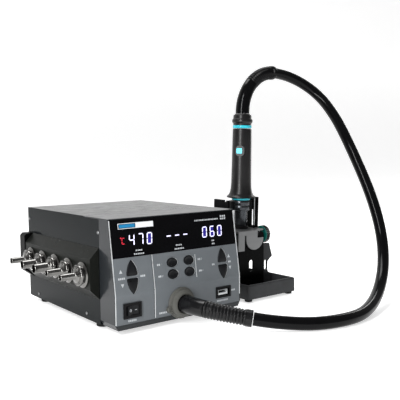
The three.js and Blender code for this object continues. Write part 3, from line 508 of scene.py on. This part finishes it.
def add_hose():
    """The hose in two lengths that meet on its way up, so that each bends across one joint."""
    line = smooth_route(ROUTE)
    marks = distances(line)
    first_high = next(i for i, p in enumerate(line) if marks[i] > BOOT_REACH and p.z > SPLIT_Z)
    split, end = marks[first_high], marks[-1]
    lower = stretch(line, BOOT_REACH + HOSE_JOINT, split)
    upper = stretch(line, split, end - HOSE_JOINT)
    for name, node, points, bodies, start, stop in (
        ("hose_run", "hose_lower", lower, ("station", "holder"), (0, 0, 20), (0, 0, 200)),
        ("hose_drop", "hose_upper", upper, ("holder", "handle"), (385, 0, 0), (326, 0, 0)),
    ):
        skin = piece(name, tube(points, [HOSE_RADIUS] * len(points)), "rubber_black", None)
        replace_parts(skin, node)
        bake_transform(skin)
        distances(points)[-1] * MM


def ribbed(points, smooth_share, start_radius, end_radius, collar, pitch):
    """Radii of a strain relief: a smooth taper, then rounded ribs, then a plain collar at the end."""
    taper_share, rounding = 0.8, 0.8
    collar_low, collar_rise = 0.25, 0.35
    groove, rib_height, rib_fullness = 0.9, 1.25, 0.6
    marks = distances(points)
    total = marks[-1]
    radii = []
    for mark in marks:
        share = mark / total
        base = start_radius + (end_radius - start_radius) * min(1, share / taper_share)
        if mark > total - collar:
            edge = min(1, (total - mark) / rounding)
            radii.append(base + collar_low + collar_rise * edge)
        elif share > smooth_share:
            wave = math.sin(math.pi * (mark - smooth_share * total) / pitch) ** 2
            radii.append(base - groove + rib_height * wave**rib_fullness)
        else:
            radii.append(base)
    return radii


def add_station_boot():
    line = smooth_route(ROUTE)
    points = stretch(line, BOOT_START, BOOT_REACH, RIB_STEP)
    radii = ribbed(points, smooth_share=0.4, start_radius=11, end_radius=9.4, collar=8, pitch=3.8)
    shape = tube(points, radii, BOOT_SIDES)
    boot = piece("station_strain_relief", shape, "sleeve_rubber", "station")
    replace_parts(boot, "station_boot")


def add_handle_boot():
    start, straight, bend = 262.7, 3, 60
    steps = 60
    line = [Vector((HANDLE_X, HANDLE_Y, start))]
    for i in range(steps + 1):
        angle = math.pi / 2 * i / steps
        line.append(Vector((
            HANDLE_X + bend * (1 - math.cos(angle)), HANDLE_Y, start + straight + bend * math.sin(angle))))
    points = stretch(line, 0, distances(line)[-1], RIB_STEP)
    radii = ribbed(points, smooth_share=0.5, start_radius=10.2, end_radius=9.7, collar=6, pitch=3.6)
    shape = tube(points, radii, BOOT_SIDES)
    boot = piece("handle_strain_relief", shape, "rubber_black", "handle", TILTED)
    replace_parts(boot, "handle_boot")


# ---------------------------------------------------------------- case


def add_case():
    dress("chassis_base", "case_paint", 0.3)
    dress("top_cover", "case_paint", 0.7)
    dress("rear_panel", "case_paint", 0.3)
    dress("power_inlet", "black_plastic", 0.4)
    dress("front_bezel", "bezel_paint", 0.7, 3)
    dress("front_fascia", "fascia_grey", 0.3)
    dress("display_window", "window_gloss", 0.4)
    dress("nozzle_panel", "panel_paint", 0.8)
    dress("nozzle_end_cap", "column_black", 0.6)
    for name, finish_name in (
        ("blower_housing", "black_plastic"), ("blower_impeller", "black_plastic"),
        ("blower_motor", "turned_steel"),
        ("air_duct", "rubber_black"), ("main_board", "circuit_board"), ("display_board", "circuit_board"),
        ("heater_core", "ceramic"),
    ):
        dress(name, finish_name)


def add_feet():
    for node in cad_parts:
        if "_foot_" not in node:
            continue
        low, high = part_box(node)
        radius, height = (high.x - low.x) / 2 / MM, (high.z - low.z) / MM
        middle = ((low + high) / 2 - CORNER) / MM
        profile = [
            (0, 0.9), (radius * 0.35, 0.9), (radius * 0.42, 0), (radius - 1.6, 0), (radius - 0.5, 0.4),
            (radius, 1.5), (radius - 0.4, height), (0, height),
        ]
        place = Matrix.Translation((middle.x, middle.y, 0))
        pad = piece(f"{node}_pad", revolve(profile), "foot_rubber", "station", place)
        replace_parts(pad, node)


def screw_shape(radius, height):
    return revolve([
        (0, height * 0.55), (radius * 0.42, height * 0.55), (radius * 0.42, height), (radius * 0.8, height),
        (radius, height * 0.5), (radius, 0), (0, 0),
    ], 32)


def add_screws():
    side_places = [(233, 116), (34.8, 115), (208, 13), (67, 14)]
    for i, (y, z) in enumerate(side_places, 1):
        for side, x, turn in (("left", 0, ALONG_MINUS_X), ("right", CASE_WIDTH, ALONG_X)):
            place = Matrix.Translation((x, y, z)) @ turn
            piece(f"{side}_screw_{i}", screw_shape(2, 0.9), "bracket_silver", "station", place)


# ---------------------------------------------------------------- control panel

ARROWS = {"temperature": 25.3, "airflow": 160.3}
OVAL_COLUMNS, OVAL_ROWS = (82, 107), (29.2, 15.2)
OVAL_WIDER = 7.5 / 5.6  # the channel buttons' width over their height
ARROW_MIDDLE, ARROW_SPLIT = 19.1, 1.7

# Depths between which a thin mark lies. The window's face is 0.4 behind the panel's plane.
PANEL_MARK, WINDOW_MARK, ROCKER_MARK = (-0.1, 0.05), (0.2, 0.35), (-0.12, 0.1)


def arrow_base(direction):
    return ARROW_MIDDLE + direction * ARROW_SPLIT


def rectangle(x0, x1, z0, z1):
    return [(x0, z0), (x1, z0), (x1, z1), (x0, z1)]


def add_panel_trim():
    """Pale strips down the panel's edges, its groove and one upright line, which are painted highlights, and
    the thin plate around the four oval buttons.
    """
    # painted highlights: bright lines where light catches the panel's edges and the right side of its groove
    on_slope = ((0.6, 1.7, 0, 85), (186.3, 187.4, 0, 85), (54.1, 54.9, 0, 41.5), (117, 117.7, 7, 35))
    below_kink = ((0.6, 1.7, -33, 0), (186.3, 187.4, -24, 0), (54.1, 54.9, -33, 0))
    for name, lines, place in (
        ("panel_edge_highlights", on_slope, LEANING),
        ("panel_edge_highlights_low", below_kink, Matrix.Translation((0, 0, KINK))),
    ):
        strips = [block(x0, x1, -0.25, 0.4, s0, s1) for x0, x1, s0, s1 in lines]
        piece(name, merge(strips), "silver_and_painted_highlight", "station", place)
    holes = [circle(x, s, 6, wider=OVAL_WIDER) for x in OVAL_COLUMNS for s in OVAL_ROWS]
    backing = plate([rounded(72.5, 116.5, 7.5, 36, 2.5), *holes], -0.3, 0.2)
    piece("oval_button_plate", backing, "fascia_grey", "station", LEANING, bevel=0.12)


def painted_highlight_rim(name, outline):
    """Painted highlight: a pale strip along only the right-hand side of an opening, where the light catches
    its bevel.
    """
    middle = sum(x for x, _ in outline) / len(outline)
    right = [(x, 0, z) for x, z in outline if x > middle + 0.5]
    count = len(right)
    thin, swell = 0.12, 0.3
    radii = [thin + swell * math.sin(math.pi * (i + 0.5) / count) for i in range(count)]
    piece(name, tube(right, radii, 8), "silver_and_painted_highlight", "station", LEANING)


def crowned_button(outline, crown=0.7, depth=5.5, proud=1.6):
    """Push button whose face swells towards its middle, from an outline in (X, Z)."""
    centre_x = sum(x for x, _ in outline) / len(outline)
    centre_z = sum(z for _, z in outline) / len(outline)
    rings = [(1, -depth), (1, proud - crown - 0.25), (0.96, proud - crown), (0.8, proud - 0.45 * crown),
             (0.5, proud - 0.1 * crown), (0.2, proud)]
    count = len(outline)
    verts = [
        (centre_x + (x - centre_x) * scale, -height, centre_z + (z - centre_z) * scale)
        for scale, height in rings for x, z in outline
    ]
    faces = [
        [r * count + i, r * count + (i + 1) % count, (r + 1) * count + (i + 1) % count, (r + 1) * count + i]
        for r in range(len(rings) - 1) for i in range(count)
    ]
    faces.append(list(range(count)))
    faces.append([(len(rings) - 1) * count + i for i in reversed(range(count))])
    return verts, faces


def add_buttons():
    for column, x in ARROWS.items():
        for word, direction in (("up", 1), ("down", -1)):
            node = f"{column}_{word}_button"
            outline = arrow(x, arrow_base(direction), direction)
            cap = piece(f"{node}_cap", crowned_button(outline), "button_black", node, LEANING, smooth_to=50)
            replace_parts(cap, node)
            # the pale rim on the arrow's right side is a painted highlight
            painted_highlight_rim(f"{node}_edge", arrow(x, arrow_base(direction), direction, 0.55))
    profile = [
        (0, -5.5), (5.6, -5.5), (5.6, 0.7), (5.4, 1.1), (5, 1.25), (4.5, 1.2), (4, 0.75), (2.4, 0.5),
        (0, 0.45),
    ]
    places = [(x, s) for x in OVAL_COLUMNS for s in OVAL_ROWS]
    for i, (x, s) in enumerate(places, 1):
        node = f"channel_button_{i}"
        widen = Matrix.Diagonal((OVAL_WIDER, 1, 1, 1))
        place = LEANING @ Matrix.Translation((x, 0, s)) @ widen @ ALONG_MINUS_Y
        cap = piece(f"{node}_cap", revolve(profile), "button_black", node, place)
        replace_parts(cap, node)
        start_left = [(x - u, z) for u, z in circle(0, s, 6.1, wider=OVAL_WIDER)]
        # the pale rim on the oval's right side is a painted highlight
        painted_highlight_rim(f"{node}_edge", start_left)


ROCKER_PLACE = Matrix.Translation((22.7, 4.5, 27.4)) @ Matrix.Rotation(math.radians(8), 4, "Z")
ROCKER_SLOPE = math.radians(10.4)  # each half of the rocker's face slopes in by this much


def add_switch_and_port():
    dress("rocker_frame", "black_plastic", 0.4)
    dress("power_rocker", "button_black", 0.5)
    left_half = ROCKER_PLACE @ Matrix.Translation((-3.8, -5.7, 0)) @ Matrix.Rotation(ROCKER_SLOPE, 4, "Z")
    right_half = ROCKER_PLACE @ Matrix.Translation((3.8, -5.7, 0)) @ Matrix.Rotation(-ROCKER_SLOPE, 4, "Z")
    off_ring = plate([circle(0, 0, 1.6, 24), circle(0, 0, 1, 24)], *ROCKER_MARK)
    piece("rocker_off_mark", off_ring, "print_white", "power_rocker", left_half)
    on_bar = plate([rectangle(-1.4, 1.4, -0.3, 0.3)], *ROCKER_MARK)
    piece("rocker_on_mark", on_bar, "print_white", "power_rocker", right_half)
    dress("usb_port", "window_gloss", 0.3)
    x, z = 158.8, 28.5
    shell_outline = rectangle(x - 7.6, x + 7.6, z - 3.6, z + 2.8)
    shell_hole = rectangle(x - 6.9, x + 6.9, z - 1.2, z + 2.3)
    piece("usb_shell", plate([shell_outline, shell_hole], 0.4, 9), "silver_and_painted_highlight", "station", bevel=0.1)


OUTLET_X, OUTLET_Z = 92, 25


def add_outlet():
    """Moulded collar with two steps, and a screw lobe low on each side."""
    place = Matrix.Translation((OUTLET_X, 0, OUTLET_Z)) @ ALONG_MINUS_Y
    profile = [
        (11.2, -8), (12.3, -8), (12.3, 0.35), (19.2, 0.35), (19.2, 1.6), (18.2, 2.4), (17.2, 2.8),
        (16.9, 6.4), (15.8, 7.2), (13.9, 8.9), (12.2, 9.2), (11.2, 8.6), (11.2, -8),
    ]
    collar = piece("outlet_collar", revolve(profile, 96), "collar_taupe", "station", place, bevel=0.25)
    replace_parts(collar, "hose_outlet")
    lobe = revolve([(0, 0.35), (4.2, 0.35), (4.2, 4), (3.6, 4.6), (2.4, 4.6), (2, 3.8), (0, 3.8)], 40)
    for side in (-1, 1):
        corner = Matrix.Translation((OUTLET_X + 18 * side, 0, OUTLET_Z - 5.5)) @ ALONG_MINUS_Y
        piece(f"outlet_lobe_{'left' if side < 0 else 'right'}", lobe, "collar_taupe", "station", corner)


# ---------------------------------------------------------------- nozzles

NOZZLE_TIPS = (4, 4.1, 6, 5.4, 4.1)
NOZZLE_FACE_X, NOZZLE_Z = -12.35, 65
FIRST_NOZZLE_Y, NOZZLE_PITCH = 51.5, 37.2


def nozzle_profile(tip):
    bore = 7.9
    return [
        (bore, 0), (14.8, 0), (15.2, 0.3), (15.2, 1.3), (14.8, 1.6), (13.9, 1.8), (13.4, 2.3), (12.2, 2.6),
        (11.4, 3.1), (11.4, 4.5), (12.2, 4.9), (12.6, 5.3), (12.6, 7.1), (12.3, 7.6), (11.6, 8.1),
        (11.1, 8.1), (10.9, 7.6), (10.5, 7.6), (10.3, 8.3), (9.6, 8.6), (9.4, 8.1), (9.1, 8.1), (8.9, 8.9),
        (tip + 1.9, 9.9), (tip + 0.6, 10.6), (tip, 11.6), (tip, 28.5), (tip - 0.15, 28.7),
        (tip - 0.55, 28.7), (tip - 0.7, 28.5), (tip - 0.7, 9.2), (bore, 6), (bore, 0),
    ]


def add_nozzles():
    for i, tip in enumerate(NOZZLE_TIPS):
        node = f"nozzle_{i + 1}"
        y = FIRST_NOZZLE_Y + NOZZLE_PITCH * i
        place = Matrix.Translation((NOZZLE_FACE_X, y, NOZZLE_Z)) @ ALONG_MINUS_X
        body = piece(f"{node}_turned", revolve(nozzle_profile(tip), 80), "turned_steel", node, place)
        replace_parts(body, node)
        on_waist = Matrix.Translation((0, 0, 3.8)) @ Matrix.Rotation(math.radians(35), 4, "Z") @ ALONG_X
        screw_place = place @ on_waist @ Matrix.Translation((0, 0, 11.2))
        piece(f"{node}_screw", screw_shape(1.6, 2), "turned_steel", node, screw_place)


# ---------------------------------------------------------------- stand and holder


def add_stand():
    dress("stand_base", "stand_paint", 0.8, 3)
    dress("stand_column", "column_black", 0.5)
    dress("side_bracket", "stand_paint", 0.6)
    dress("hinge_pin", "turned_steel", 0.4)
    dress("tilt_yoke", "bracket_silver", 0.6)
    dress("holder_plate", "column_black", 0.5)
    # the pale strip along the plate's crease is a painted highlight
    crease_highlight = block(286.9, 287.5, 77.9, 79.5, 97, 139)
    piece("holder_plate_crease", crease_highlight, "silver_and_painted_highlight", "holder", TILTED, bevel=0.2)


def add_knob():
    """Knurled clamping knob between a thin teal collar and a turned cap."""
    teeth, tip_radius, root_radius, bore = 28, 13, 11.9, 3.4
    collar_x, knurl_x, knurl_width = 292.6, 294, 7
    rim = []
    for i in range(2 * teeth):
        radius = tip_radius if i % 2 else root_radius
        angle = math.pi * i / teeth
        rim.append((radius * math.cos(angle), radius * math.sin(angle)))
    knurl = plate([rim, circle(0, 0, bore)], 0, knurl_width)
    facing_out = Matrix.Translation((knurl_x, HINGE_Y, HINGE_Z)) @ Matrix.Rotation(math.radians(270), 4, "Z")
    knob = piece("knob_knurl", knurl, "knob_black", "clamp_knob", facing_out, bevel=0.3, smooth_to=20)
    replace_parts(knob, "clamp_knob")
    face = Matrix.Translation((collar_x, HINGE_Y, HINGE_Z)) @ ALONG_X
    collar = revolve([(bore, 0), (12.2, 0), (12.6, 0.3), (12.6, 1.4), (bore, 1.4), (bore, 0)])
    piece("knob_collar", collar, "knob_teal", "clamp_knob", face)
    cap = revolve([(bore, 8.3), (10, 8.3), (10, 9.4), (9.4, 10), (bore, 10), (bore, 8.3)])
    piece("knob_cap", cap, "turned_steel", "clamp_knob", face)


def add_holder():
    seat = [(7, 94), (12.2, 94), (12.5, 94.4), (10.7, 97.4), (10.2, 97.7), (7, 97.7), (7, 94)]
    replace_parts(piece("seat_ring", revolve(seat), "black_plastic", "holder", ON_HANDLE), "holder_seat")
    dress("holder_clip", "black_plastic", 0.6)


# ---------------------------------------------------------------- handle

BUTTON_Z, BUTTON_TURN = 208.6, -52
ON_GRIP_SIDE = (
    ON_HANDLE @ Matrix.Rotation(math.radians(BUTTON_TURN), 4, "Z") @ Matrix.Translation((0, 0, BUTTON_Z))
)
WELL_X, WELL_Z, WELL_FLOOR = (-5.2, 3), (-3.9, 3.9), -9.9
BUTTON_GAP = 0.2


def band(radius, low, high, bore=9, edge=0.4):
    """Profile of a flat ring with small chamfers."""
    return [
        (bore, low), (radius - edge, low), (radius, low + edge), (radius, high - edge),
        (radius - edge, high), (bore, high), (bore, low),
    ]


def carve(obj, cutter_shape, place):
    """Cuts a shape out of a piece for good."""
    tool_mesh = make_mesh("cutter", cutter_shape, place)
    tool = bpy.data.objects.new("cutter", tool_mesh)
    bpy.context.scene.collection.objects.link(tool)
    cut = obj.modifiers.new("Cut", "BOOLEAN")
    cut.operation = "DIFFERENCE"
    cut.solver = "EXACT"
    cut.object = tool
    result = bpy.data.meshes.new_from_object(obj.evaluated_get(bpy.context.evaluated_depsgraph_get()))
    obj.modifiers.remove(cut)
    old_mesh = obj.data
    obj.data = result
    bpy.data.objects.remove(tool)
    bpy.data.meshes.remove(tool_mesh)
    bpy.data.meshes.remove(old_mesh)


def add_handle():
    grip = [
        (9, 139.6), (20.5, 139.6), (21.2, 140.1), (21.2, 141.1), (20.4, 142), (18.4, 143.6), (17.1, 146),
        (16.1, 149.5), (15.2, 154.5), (14.8, 162), (14.6, 175), (14.35, 195), (14.15, 215), (14, 230),
        (13.8, 239.4), (13.4, 240.8), (9, 240.8), (9, 139.6),
    ]
    barrel = [
        (8.4, 98.6), (9.4, 98.6), (9.9, 99.2), (9.9, 119.6), (10.1, 120.4), (12.9, 120.8), (13.5, 121.6),
        (13.5, 127.8), (13.2, 128.2), (13.2, 128.8), (13.5, 129.2), (13.5, 135.4), (13.1, 135.9),
        (8.4, 135.9), (8.4, 98.6),
    ]
    nut = [
        (9.3, 246), (13.4, 246), (13.4, 247.8), (13.6, 248.4), (14, 249), (14.7, 249.7), (15, 250.4),
        (15, 253.4), (14.6, 254.4), (13.6, 255.2), (13.4, 255.8), (13.2, 260), (12.8, 260.7), (11.2, 261.2),
        (11, 262.2), (8, 262.2), (8, 248), (9.3, 246),
    ]
    for name, profile, finish_name, node in (
        ("grip_body", grip, "grip_black", "handle_grip"),
        ("barrel_sleeve", barrel, "gunmetal", "handle_barrel"),
        ("ring_below_grip", band(13.8, 136.4, 139.2), "cyan_ring", "handle_ring_lower"),
        ("ring_above_grip", band(14, 241.4, 245.6), "cyan_ring", "handle_ring_upper"),
        ("nut_body", nut, "grip_black", "handle_nut"),
    ):
        obj = piece(name, revolve(profile, 96), finish_name, "handle", ON_HANDLE, smooth_to=50)
        if node == "handle_grip":
            carve(obj, block(*WELL_X, -17, WELL_FLOOR, *WELL_Z), ON_GRIP_SIDE)
        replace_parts(obj, node)


def add_grip_button():
    """Lit button in a gloss frame, a little off the frame's middle."""
    frame_outline = rounded(-6.5, 6.5, -7.5, 7.5, 5)
    well = rounded(*WELL_X, *WELL_Z, 0.9)
    frame_shape = plate([frame_outline, well], -15.5, -10.2)
    piece("button_frame", frame_shape, "window_gloss", "handle", ON_GRIP_SIDE, bevel=0.4)
    left, right, low, high = (side - math.copysign(BUTTON_GAP, side) for side in (*WELL_X, *WELL_Z))
    cap_shape = plate([rounded(left, right, low, high, 0.8)], -15.7, -11.4)
    cap = piece("grip_button_cap", cap_shape, "button_cyan", "grip_button", ON_GRIP_SIDE, bevel=0.3)
    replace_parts(cap, "grip_button")


# ---------------------------------------------------------------- display

SEGMENTS = {
    "0": "abcdef", "1": "bc", "2": "abdeg", "3": "abcdg", "4": "bcfg", "6": "acdefg", "7": "abc",
    "C": "adef",
}


def segment_shapes(width, height, thick, lean=0.08):
    """Outlines of the seven bars of one digit, from its lower left corner."""
    w, h, t = width, height, thick
    middle = h / 2
    gap = 0.25

    def level(z):
        return [(gap + t / 2, z), (t + gap, z + t / 2), (w - t - gap, z + t / 2), (w - gap - t / 2, z),
                (w - t - gap, z - t / 2), (t + gap, z - t / 2)]

    def upright(x, low, high):
        return [(x, low + gap), (x + t / 2, low + gap + t / 2), (x + t / 2, high - gap - t / 2),
                (x, high - gap), (x - t / 2, high - gap - t / 2), (x - t / 2, low + gap + t / 2)]

    left, right, low, high = t / 2, w - t / 2, t / 2, h - t / 2
    shapes = {
        "a": level(high), "g": level(middle), "d": level(low),
        "f": upright(left, middle, high), "b": upright(right, middle, high),
        "e": upright(left, low, middle), "c": upright(right, low, middle),
    }
    return {key: [(x + lean * z, z) for x, z in outline] for key, outline in shapes.items()}


def merge(shapes):
    verts, faces = [], []
    for part_verts, part_faces in shapes:
        start = len(verts)
        verts += part_verts
        faces += [[start + i for i in face] for face in part_faces]
    return verts, faces


def digit(text, x, s, width, height, thick, depths=WINDOW_MARK):
    bars = segment_shapes(width, height, thick)
    outlines = [[(x + u, s + v) for u, v in bars[key]] for key in SEGMENTS[text]]
    return merge([plate([outline], *depths) for outline in outlines])


def add_display():
    size = dict(width=7.4, height=13.8, thick=1.25)
    pitch, foot = 12.2, 54.2
    for name, text, x in (("set_value", "470", 25), ("air_value", "060", 132.2)):
        digits = [digit(c, x + pitch * i, foot, **size) for i, c in enumerate(text)]
        piece(f"{name}_digits", merge(digits), "digit_white", "station", LEANING)
        hazes = []
        for i, c in enumerate(text):
            if c in "06":
                left, low, high = x + pitch * i + 1.6, foot + 1.6, foot + 12.2
                outline = [(left, low), (left + 4.4, low), (left + 5.2, high), (left + 0.8, high)]
                hazes.append(plate([outline], 0.36, 0.39))
        piece(f"{name}_haze", merge(hazes), "digit_haze", "station", LEANING)
    dashes = [plate([rectangle(x, x + 6.2, 60.4, 61.7)], *WINDOW_MARK) for x in (78.2, 90.6, 103.1)]
    piece("actual_value_dashes", merge(dashes), "digit_white", "station", LEANING)
    unit = merge([digit("C", 15.6, 57.2, 4.4, 7.4, 0.8), plate([circle(15, 64.4, 0.9, 20)], *WINDOW_MARK)])
    piece("unit_mark", unit, "digit_red", "station", LEANING)


def blocks(x, s, count, width=1.7, height=2.2, gap=0.6):
    """A row of small light blocks in the place of a printed word."""
    start = x - (count * (width + gap) - gap) / 2
    lefts = [start + i * (width + gap) for i in range(count)]
    return [rectangle(left, left + width, s - height / 2, s + height / 2) for left in lefts]


def triangle(x, s, direction, half=2.1):
    return [(x - half, s - direction * half), (x + half, s - direction * half), (x, s + direction * half)]


def add_panel_marks():
    """Generic marks on the grey panel: arrows, numerals and rows of blocks."""
    outlines = [
        triangle(10.6, 26.8, 1), triangle(11.6, 10.5, -1),
        triangle(171.6, 27.4, 1), triangle(172.4, 12.1, -1),
    ]
    for x, s, count in (
        (11, 18.6, 4), (39.4, 18.7, 3), (172.2, 19.8, 2), (145, 19.3, 2), (62.4, 28.4, 2), (62.9, 14.6, 2),
        (123.2, 28.5, 2), (123.6, 14.2, 2),
    ):
        outlines += blocks(x, s, count)
    shapes = [plate([outline], *PANEL_MARK) for outline in outlines]
    numerals = (("1", 65.2, 27.2), ("2", 65.8, 13.4), ("3", 126, 27.3), ("4", 126.4, 13))
    shapes += [digit(text, x, s, 2, 2.5, 0.5, PANEL_MARK) for text, x, s in numerals]
    piece("panel_marks", merge(shapes), "print_white", "station", LEANING)
    low_outlines = []
    for x, z, count in ((175.6, 28.7, 3), (22.7, 15.4, 5), (65.4, 17, 5), (157.5, 17.8, 8)):
        low_outlines += blocks(x, z, count)
    low_marks = merge([plate([outline], *PANEL_MARK) for outline in low_outlines])
    piece("panel_marks_low", low_marks, "print_white", "station")


def add_window_marks():
    """Generic two-part badge and rows of blocks on the face of the display window."""
    outlines = []
    for x, s, count in (
        (37.8, 48.6, 4), (37.5, 44.6, 6), (94.8, 49, 4), (95.1, 44.7, 6), (148.4, 49.5, 2), (148.7, 45.4, 2),
        (141, 76.4, 16),
    ):
        outlines += blocks(x, s, count, width=1.6, height=1.7, gap=0.8)
    square, pitch = 2.2, 3.2
    corners = [(164 + pitch * i, 75 + pitch * k) for i in range(3) for k in range(2)]
    outlines += [rectangle(x, x + square, s, s + square) for x, s in corners]
    marks = merge([plate([outline], *WINDOW_MARK) for outline in outlines])
    piece("window_marks", marks, "print_white", "station", LEANING)
    white = merge([
        plate([rectangle(36, 60.5, 74.6, 81)], *WINDOW_MARK),
        plate([rectangle(12.4, 36, 74.6, 81), rectangle(13, 36, 75.2, 80.4)], *WINDOW_MARK),
    ])
    piece("badge_light_part", white, "badge_white", "station", LEANING)
    blue = plate([rectangle(14, 35, 75.9, 79.7)], *WINDOW_MARK)
    piece("badge_blue_part", blue, "badge_blue", "station", LEANING)


add_camera()
add_hose()
add_station_boot()
add_handle_boot()
add_studio()
add_floor()
add_case()
add_feet()
add_screws()
add_panel_trim()
add_buttons()
add_switch_and_port()
add_outlet()
add_nozzles()
add_stand()
add_knob()
add_holder()
add_handle()
add_grip_button()
add_display()
add_panel_marks()
add_window_marks()
